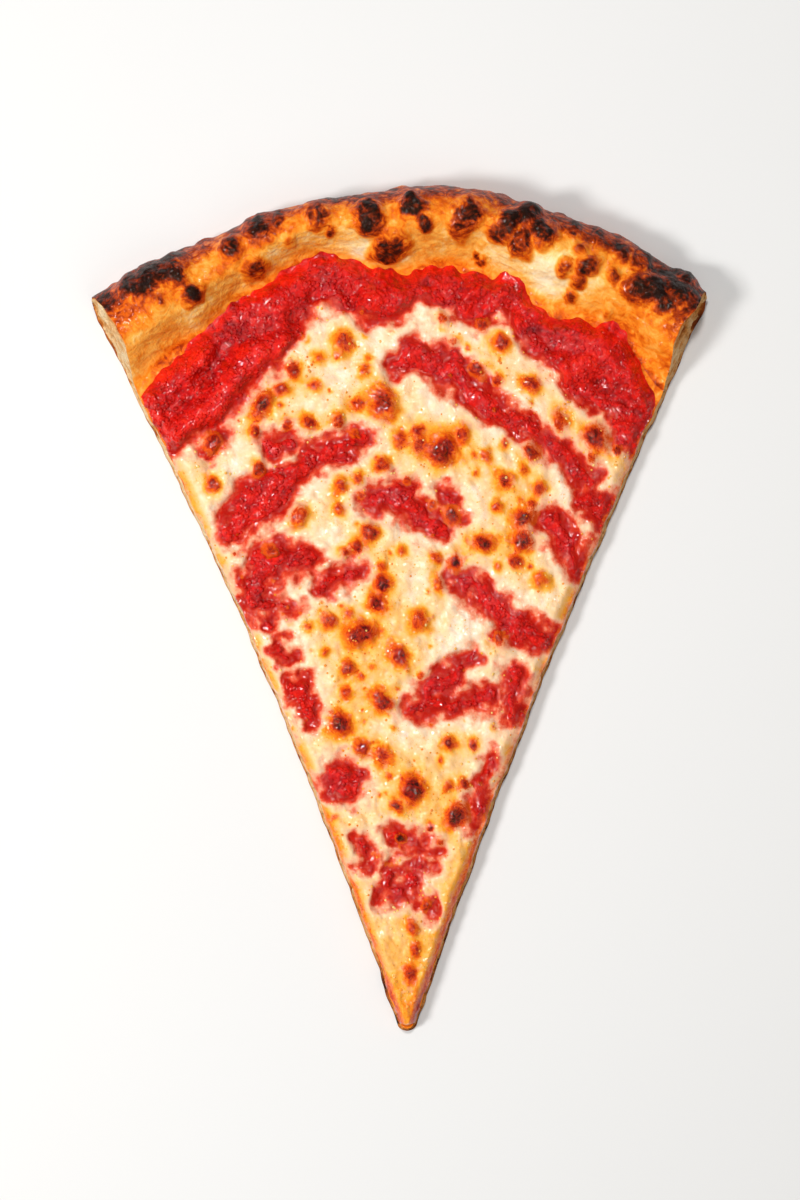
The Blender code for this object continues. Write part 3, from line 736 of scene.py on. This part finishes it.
def buildCrust():
    cfg = crustMesh
    points, faces, kinds = [], [], []  # kind 0 is skin, 1 is cut crumb and 2 the underside
    rowsTop, rowsUnder = [], []
    count = 0
    allRows = cfg["baseRows"] + cfg["rimRows"]

    def rowAt(row, across, under):
        if row <= cfg["baseRows"]:
            along = rimFoot(across) * row / cfg["baseRows"]
            height = baseTop(across, along)
        else:
            share = np.full_like(across, (row - cfg["baseRows"]) / cfg["rimRows"])
            along, height = rimSection(across, share)
            if under:
                edge, _ = rimSection(across, np.ones_like(across))
                along = mix(rimFoot(across), edge, share)
        return leaned(across, along, 0 * height if under else height)

    share = []
    for rows, under in ((rowsTop, False), (rowsUnder, True)):
        for row in range(allRows if under else allRows + 1):
            shown = row > cfg["baseRows"] - cfg["shownRows"] and not under
            across = np.linspace(-1, 1, (cfg["rimColumns"] if shown else cfg["hiddenColumns"]) + 1)
            rows.append((np.arange(count, count + len(across)), across))
            points.append(rowAt(row, across, under))
            place = cfg["underside"] if under else max(0, row - cfg["baseRows"]) / cfg["rimRows"]
            share.append(np.full(len(across), place))
            count += len(across)
    rowsUnder.append(rowsTop[-1])  # the last row closes the skin onto the underside

    for rows, kind in ((rowsTop, 0), (rowsUnder, 2)):
        for (lower, lowerAt), (upper, upperAt) in zip(rows, rows[1:]):
            strip = stripTriangles(lower, lowerAt, upper, upperAt)
            faces += strip if kind == 0 else [t[::-1] for t in strip]
            kinds += [kind] * len(strip)

    # the cut faces run from the left corner round the tip to the right corner
    def border(rows):
        left = [r[0][0] for r in rows[::-1]]
        right = [r[0][-1] for r in rows[1:]]
        return np.array(left + list(rows[0][0][1:-1]) + [rows[0][0][-1]] + right)

    topPath, underPath = border(rowsTop), border(rowsUnder)
    joined = np.concatenate(points)
    at = np.arange(len(topPath))
    levels = [topPath]
    for level in range(1, cfg["wallLevels"]):
        inner = at[1:-1]
        row = mix(joined[topPath[inner]], joined[underPath[inner]], level / cfg["wallLevels"])
        points.append(row)
        share.append(np.full(len(row), cfg["cutFace"]))
        levels.append(np.concatenate([[topPath[0]], np.arange(count, count + len(row)), [topPath[-1]]]))
        count += len(row)
    levels.append(underPath)
    for upper, lower in zip(levels, levels[1:]):
        strip = [t for t in stripTriangles(lower, at, upper, at) if len(set(t)) == 3]
        faces += strip
        kinds += [1] * len(strip)
    points, share = np.concatenate(points), np.concatenate(share)
    faces, kinds = np.array(faces), np.array(kinds)
    x, y, z = points.T

    # a draft mesh gives the outward directions that the skin and its blisters rise along
    mesh = bpy.data.meshes.new("draft")
    mesh.from_pydata(points.tolist(), [], faces.tolist())
    normals = np.zeros(len(points) * 3, np.float32)
    mesh.vertex_normals.foreach_get("vector", normals)
    normals = normals.reshape(-1, 3)
    bpy.data.meshes.remove(mesh)

    onRim = between(0.0, 0.12, share) * (1 - between(0.93, 1.0, share))
    sideways = z * dough["unroll"]  # a copy, taken before the swell moves the points
    swell = skinSwell(x, y, z)
    middle, pull = dough["spotMiddle"], dough["spotPull"]
    spots = [
        (sx * pull, middle + (sy - middle) * pull, radius * 1.25, dark * 0.94, high * 1.7)
        for sx, sy, radius, dark, high in dough["charSpots"]
    ]
    rise, char, _ = domes(x + 0.3 * lumps(x, y, 2.6, 57), y + 0.3 * lumps(x, y, 2.6, 58), spots, 1.9, 0.56)
    upward = between(-0.1, 0.3, normals[:, 2])
    crinkle = 0.34 * lumps(x, y, 1.7, 55) - 0.25 * np.abs(lumps(x, y, 2.6, 56))
    swell = swell + (rise + crinkle * between(0.55, 0.8, char)) * upward
    turn, _ = polar(x, y)
    backRise, backChar, _ = domes(turn * cfg["turnLength"], z, outerSideSpots(), 1.6)
    facing = between(0.35, -0.15, normals[:, 2]) * (share > 0.4)
    swell = swell + backRise * facing
    skin = share >= 0
    points[skin] += (normals * (swell * onRim)[:, None])[skin]
    roof, gap = cfg["softRoof"], cfg["clearance"]
    high = np.maximum(points[:, 2] - tallest + cfg["roofDepth"], 0)
    softened = np.maximum(points[:, 2] - high + roof * np.tanh(high / roof), 0)
    points[:, 2] = np.where(skin, softened, points[:, 2])
    points[:, 0] = np.clip(points[:, 0], crustLow.x / mm + gap, crustHigh.x / mm - gap)
    points[:, 1] = np.minimum(points[:, 1], crustHigh.y / mm - gap)

    bake = skinBakeAndShading(x, y, sideways, share)
    bake = np.maximum(bake, np.where(share > 0.42, backChar * facing, 0))
    bake = bake + np.maximum(char * upward - bake, 0) * skin
    tearCuts(points, share == cfg["cutFace"], bake)
    bake[share == cfg["underside"]] = 0.7
    bake = np.where((share == 0) & (y < 70), 0.5, bake)
    materials = [bakedSkin(), openCrumb(), stoneBakedBase()]
    return makePiece("bakedCrust", points, faces, materials, {"bake": bake}, kinds, 60)


def skinBakeAndShading(x, y, sideways, share):  # how far the skin is baked, leaving out its char, with painted light on the inner slope and painted shade towards the right end
    pale = np.exp(-(((x - 42) / 13) ** 2) - ((y - 91) / 6) ** 2)
    pale = pale + 0.7 * np.exp(-(((x + 10) / 9) ** 2) - ((y - 97) / 4) ** 2)
    # painted light: the inner slope, which lies in shade, is made paler; painted shade: the skin darkens
    # towards the right end, away from the light
    slopeLightening = between(0.0, 0.1, share) - between(0.3, 0.45, share)
    bake = 0.38 + 0.08 * lumps(x, y, 9, 61) - 0.3 * pale - 0.07 * slopeLightening + 0.06 * between(20, 75, x)
    bake = bake + 0.16 * between(-4.5, 0.5, insideEdge(x, y, sauce["edge"])) * (share < 0.5)
    bake = bake + 0.10 * between(60, 76, np.abs(x)) + 0.07 * between(0.3, 0.5, share)
    bake = bake + (0.27 + 0.12 * lumps(x, y, 6, 63)) * between(0.52, 0.62, share)
    bake = bake - 0.15 * between(0.68, 0.92, share)
    return bake + 0.10 * lumps(x, y + sideways, 5, 62) * between(0.5, 0.65, share)


def tearCuts(points, wall, bake):  # the cut faces get holes left by gas, and browned edges
    x, y, z = points[wall].T
    random = np.random.RandomState(crustMesh["holeSeed"])
    inRim = between(70, 84, y)
    depth, shade = np.zeros(len(x)), np.zeros(len(x))
    for _ in range(crustMesh["holes"]):
        chosen = random.randint(len(x))
        radius = random.uniform(0.5, 2.0) if y[chosen] > 70 else random.uniform(0.3, 0.85)
        stretch = np.hypot(x - x[chosen], y - y[chosen]) / random.uniform(1.0, 1.9)
        away = np.hypot(stretch, z - z[chosen]) / radius
        hollow = np.sqrt(np.clip(1 - away**2, 0, 1))
        depth = np.maximum(depth, hollow * radius * 0.75)
        shade = np.maximum(shade, hollow)
    depth = depth + 0.18 * lumps(y, z * 1.5, 1.4, 65) + 0.25 * lumps(y, z, 4, 66)
    toTop = np.maximum(mix(dough["baseThickness"], 17.0, inRim) - z, 0)
    fadeIn = between(0, 1.0, z) * between(0, 0.6, toTop + 2 * inRim)
    middle = 2  # x between the two cuts
    points[wall, 0] -= np.where(x < middle, -1, 1) * depth * np.clip(fadeIn, 0.15, 1)

    bottomEdge, skinEdge = np.exp(-z / 0.8), np.exp(-toTop / 1.2) * inRim
    nearTip = between(-78, -112, y)
    # painted shade: the right cut, which faces away from the light, is made darker, and each hole is darkened
    # by its shade
    brownAndShade = 0.15 + 0.14 * (x > middle) + 0.4 * bottomEdge * (1 - 0.5 * nearTip) + 0.45 * skinEdge
    brownAndShade = brownAndShade + 0.22 * shade + 0.08 * lumps(y, z, 6, 67)
    brownAndShade = brownAndShade * (1 - 0.4 * nearTip) + 0.24 * nearTip + 0.12 * between(10, -60, y)
    scorch = np.exp(-(((y + 102) / 5) ** 2)) + 0.7 * np.exp(-(((y + 82) / 3) ** 2))
    bake[wall] = brownAndShade + 0.35 * scorch * (x < 0)


def outerSideSpots():  # char on the side that faces away, placed along the rim by chance
    random = np.random.RandomState(crustMesh["sideSeed"])
    spots = []
    for place in np.linspace(-88, 80, crustMesh["sideSpots"]):
        radius = random.uniform(1.6, 4.2)
        place, height = place + random.uniform(-4, 4), random.uniform(4, 13)
        spots.append((place, height, radius, random.uniform(0.7, 0.98), radius * 0.28))
    return spots


def buildSauce():
    def alongOf(row):
        share = row / sauce["rows"]
        return lambda a: mix(2.0 / columnLength(a), rimFoot(a) + 5.0 / columnLength(a), share)

    across, along, faces = lattice([alongOf(row) for row in range(sauce["rows"] + 1)], sauce["spacing"])
    thick, toRim, heaps, ring = sauceThickness(across, along)
    ground = layerGround(across, along)
    x, y = planPoint(across, along)
    faces = faces[(toRim > -2.2)[faces].all(1)]
    ragged = (0.25 * lumps(y, x * 0, 3, 71) - 0.45 - 0.9 * between(-10, -70, y)) * np.abs(across) ** 30
    top = leaned(across, along, ground + thick, ragged)
    bottom = leaned(across, along, ground - 1.1 * between(2.5, 0.5, toRim) - 0.15, ragged)
    # hollow darkens the sauce: painted shade between the heaps on the ring and in the dips of its lumps, plus
    # a darker red where the cheese is open and a cooked-on dark edge against the rim
    hollow = (1 - heaps) * ring + 0.55 * (1 - ring) * between(0.0, 3.0, toRim) - 0.35 * lumps(x, y, 3.6, 24)
    hollow = hollow + 0.5 * between(3.0, 0.0, toRim)
    fields = {"hollow": np.clip(hollow, 0, 1)}
    bare = np.maximum(ring, between(0.2, -1.2, cheeseCover(x, y))) * between(0.5, 3.0, toRim)
    material = crushedTomato("crushedTomato")
    return closedLayer("tomatoSauce", faces, top, bottom, material, fields, {"bare": bare})


def layerGround(across, along):  # the crust below the sauce, with its own unevenness where it climbs the rim
    x, y = planPoint(across, along)
    ground, foot = innerSlope(across, along), rimFoot(across)
    share = dough["climbShare"] * (along - foot) / ((1 - foot) * (1 - dough["crownShare"]))
    return ground + skinSwell(x, y, ground) * between(0.0, 0.12, share)


def buildCheese():
    def alongOf(row):
        def alongAt(a):
            outer = 1 - widthAcross(cheese["margin"], a) / columnLength(a)
            return mix(0.9 / columnLength(a), outer, row / cheese["rows"])

        return alongAt

    across, along, faces = lattice([alongOf(row) for row in range(cheese["rows"] + 1)], cheese["spacing"])
    x, y = planPoint(across, along)
    openCover = cheeseCover(x, y)
    sauceThick = sauceThickness(across, along)[0]
    ground = layerGround(across, along) + sauceThick
    random = np.random.RandomState(cheese["seed"])
    spots = [
        (sx, sy, radius, min(dark, 0.8), 0.65 * radius**0.8) for sx, sy, radius, dark in cheese["blisters"]
    ]
    spots.append(cheese["burntHole"])
    for _ in range(cheese["smallSpots"]):
        a, s = random.uniform(-0.93, 0.93), random.uniform(0.06, 0.86) ** 0.6
        sx, sy = planPoint(np.array([a]), np.array([s]))
        spots.append((float(sx[0]), float(sy[0]), random.uniform(0.35, 1.0), random.uniform(0.3, 0.58), 0.12))
    rise, toast, glowing = domes(x, y, spots, 2.1)
    # blisters keep their cheese where they lie in the sauce
    cover = np.maximum(openCover, mix(-4.0, 0.8, between(0.1, 0.5, toast)))
    melt = between(-2.2, 4.6, cover)
    thick = mix(0.08, cheese["thickness"] + 0.35 * lumps(x, y, 8, 41) + 0.25 * lumps(x, y, 3.2, 42), melt)
    thick = thick - 0.6 * between(-0.6, -2.2, cover)
    crinkle = 0.22 * lumps(x, y, 1.2, 43) * between(0.55, 0.85, toast)
    thick = thick + (rise + crinkle) * between(-2.0, 0.6, cover)
    thick = thick + 0.06 * lumps(x, y, 1.1, 44)

    toCut = cutDistance(across, along)
    toTip = along * columnLength(across)
    thick = thick * mix(0.25, 1.0, between(0, 2.4, toCut)) * mix(0.5, 1.0, between(0, 3, toTip))
    ragged = (0.35 * lumps(y, x * 0, 4, 45) + 0.2 * lumps(y, x * 0, 1.6, 46)) * between(1.5, 0, toCut)
    top = leaned(across, along, ground + np.maximum(thick, -0.5), ragged)
    drape = sauceThick * between(1.0, 0.0, toCut) * between(0.0, 1.5, cover)
    bottom = leaned(across, along, ground - 0.75 - drape, ragged)
    faces = faces[(cover > -3.2)[faces].all(1)]

    tint = 1 - between(-3.0, 6.5, openCover + 1.2 * lumps(x, y, 3.4, 47) + 0.35 * lumps(x, y, 1.2, 49))
    tint = tint + 0.25 * between(3.5, 0, toCut) * between(40, 60, x + y * 0.3)
    toast = toast + glowing * np.clip(1 - toast, 0, 1)
    toast = toast + 0.06 * lumps(x, y, 14, 48) + 0.065 + 0.03 * between(10, -40, y)
    bakedAndShaded = (0.14 + 0.08 * lumps(x, y, 5, 50)) * between(-20, -90, y) + 0.2 * between(-92, -112, y)
    # the cut edges are browned; the band along the right cut is made darker still as painted shade, away from
    # the light
    bakedAndShaded = bakedAndShaded + 0.36 * between(2.4, 0, toCut) + 0.10 * between(8, 0, toCut) * (x > 0)
    toast = toast + bakedAndShaded * np.clip(1 - toast, 0, 1) ** 1.5
    fields = {"toast": np.clip(toast, 0, 1), "sauceTint": np.clip(tint, 0, 1)}
    amber = between(0.08, 0.25, toast) * between(0.5, 0.35, toast)
    oily = between(0.5, 2.0, cover) * (0.2 + 0.8 * amber) * between(0.5, 2.0, toCut)
    return closedLayer("meltedCheese", faces, top, bottom, meltedMozzarella(), fields, {"oily": oily})


# loose things laid over a layer: each is a lumpy ball, partly sunk in
tomatoBits = {
    "density": 46e4,  # per square metre, where the sauce is bare
    "smallest": 0.28 * mm,
    "largest": 0.75 * mm,
    "flatness": 0.55,
    "lumpiness": 0.9,
    "seed": 4,
}

oilBeads = {
    "density": 14e4,
    "smallest": 0.12 * mm,
    "largest": 0.42 * mm,
    "flatness": 0.6,
    "lumpiness": 0.15,
    "seed": 9,
}


def buildScattered(name, host, share, cfg, material):
    tree = bpy.data.node_groups.new(name, "GeometryNodeTree")
    add = partial(addNode, tree, "")
    titles = ("Density", "Smallest", "Largest", "Flatness", "Lumpiness")
    numbers = [(title, "INPUT", "Float") for title in titles]
    ends = [("Seed", "INPUT", "Int"), ("Geometry", "OUTPUT", "Geometry")]
    for title, side, kind in [("Geometry", "INPUT", "Geometry"), *numbers, *ends]:
        tree.interface.new_socket(name=title, in_out=side, socket_type="NodeSocket" + kind)
    given = add("NodeGroupInput").node.outputs

    wanted = add("GeometryNodeInputNamedAttribute", {"data_type": "FLOAT", "Name": share}, output="Attribute")
    wanted = add("ShaderNodeMath", {"operation": "MULTIPLY"}, {0: wanted, 1: given["Density"]})
    links = {"Mesh": given["Geometry"], "Density": wanted, "Seed": given["Seed"]}
    points = add("GeometryNodeDistributePointsOnFaces", {}, links)
    links = {2: given["Smallest"], 3: given["Largest"], "Seed": given["Seed"]}
    size = add("FunctionNodeRandomValue", {"data_type": "FLOAT"}, links, 1)
    thickness = add("ShaderNodeMath", {"operation": "MULTIPLY"}, {0: size, 1: given["Flatness"]})
    scale = add("ShaderNodeCombineXYZ", {}, {0: size, 1: size, 2: thickness})

    ball = add("GeometryNodeMeshIcoSphere", {"Radius": 1.0, "Subdivisions": 2})
    uneven = add("ShaderNodeTexNoise", {"Scale": 1.3, "Detail": 1}, output="Color")
    uneven = add("ShaderNodeVectorMath", {"operation": "SUBTRACT", 1: (0.5, 0.5, 0.5)}, {0: uneven})
    links = {0: uneven, "Scale": given["Lumpiness"]}
    uneven = add("ShaderNodeVectorMath", {"operation": "SCALE"}, links)
    ball = add("GeometryNodeSetPosition", {}, {"Geometry": ball, "Offset": uneven})
    ball = add("GeometryNodeSetShadeSmooth", {}, {"Geometry": ball})

    links = {"Points": points, "Instance": ball, "Rotation": points.node.outputs["Rotation"], "Scale": scale}
    laid = add("GeometryNodeInstanceOnPoints", {}, links)
    laid = add("GeometryNodeRealizeInstances", {}, {"Geometry": laid})
    laid = add("GeometryNodeSetMaterial", {"Material": material}, {"Geometry": laid})
    add("NodeGroupOutput", {}, {"Geometry": laid})

    piece = newObject(name, host.data.copy())
    modifier = piece.modifiers.new(name, "NODES")
    modifier.node_group = tree
    for item in tree.interface.items_tree:
        if item.in_out == "INPUT" and item.name.lower() in cfg:
            modifier[item.identifier] = cfg[item.name.lower()]
    mesh = bpy.data.meshes.new_from_object(piece.evaluated_get(bpy.context.evaluated_depsgraph_get()))
    piece.modifiers.clear()
    piece.data = mesh
    print(name, len(mesh.polygons), "triangles")
    return piece


crust = buildCrust()
tomato = buildSauce()
mozzarella = buildCheese()
tomatoPulp = buildScattered("tomatoPulp", tomato, "bare", tomatoBits, crushedTomato("tomatoPulp"))
oil = buildScattered("oilBeads", mozzarella, "oily", oilBeads, pooledOil())

for piece, node in ((crust, "crust"), (tomato, "tomato_sauce"), (mozzarella, "melted_cheese")):
    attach(piece, "root")
    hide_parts(node)
for piece, node in ((tomatoPulp, "tomato_sauce"), (oil, "melted_cheese")):
    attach(piece, "root")
print("layers placed")


studio = {
    "cameraPlace": (0, 0.0026, 0.7735),
    "lens": 85.0,
    "floorReach": 3,
    "floorDrop": 0.2 * mm,  # keeps the floor clear of the underside
    "skyStrength": 0.18,
    # place, size and power
    "lights": {
        "keyLight": ((-0.58, -0.14, 0.68), 0.18, 5.4),
        "fillLight": ((0.45, -0.55, 0.9), 0.8, 1.7),
        "glintLight": ((-0.06, 0.34, 0.88), 0.1, 4.0),
    },
}


def buildStudio():
    mesh = bpy.data.meshes.new("paleFloor")
    far = studio["floorReach"]
    mesh.from_pydata([(-far, -far, 0), (far, -far, 0), (far, far, 0), (-far, far, 0)], [], [(0, 1, 2, 3)])
    floor = newObject("paleFloor", mesh)
    paper = newMaterial("paleStudioPaper", {"Roughness": 0.9, "Base Color": tone("#e8e7e5")})[0]
    mesh.materials.append(paper)
    floor.location.z = -studio["floorDrop"]

    for name, (place, size, power) in studio["lights"].items():
        light = bpy.data.lights.new(name, "AREA")
        light.size, light.energy = size, power
        lamp = newObject(name, light)
        lamp.location = place
        lamp.rotation_euler = (-Vector(place)).to_track_quat("-Z", "Y").to_euler()

    world = bpy.data.worlds.new("studioSky")
    world.use_nodes = True
    background = world.node_tree.nodes["Background"]
    background.inputs["Color"].default_value = (1.0, 0.99, 0.97, 1)
    background.inputs["Strength"].default_value = studio["skyStrength"]
    bpy.context.scene.world = world

    lens = bpy.data.cameras.new("camera")
    lens.lens, lens.sensor_width, lens.clip_start = studio["lens"], 36, 0.01
    camera = newObject("camera", lens)
    camera.location = studio["cameraPlace"]
    bpy.context.scene.camera = camera
    bpy.context.scene.view_settings.view_transform = "Standard"


buildStudio()
print("studio ready")
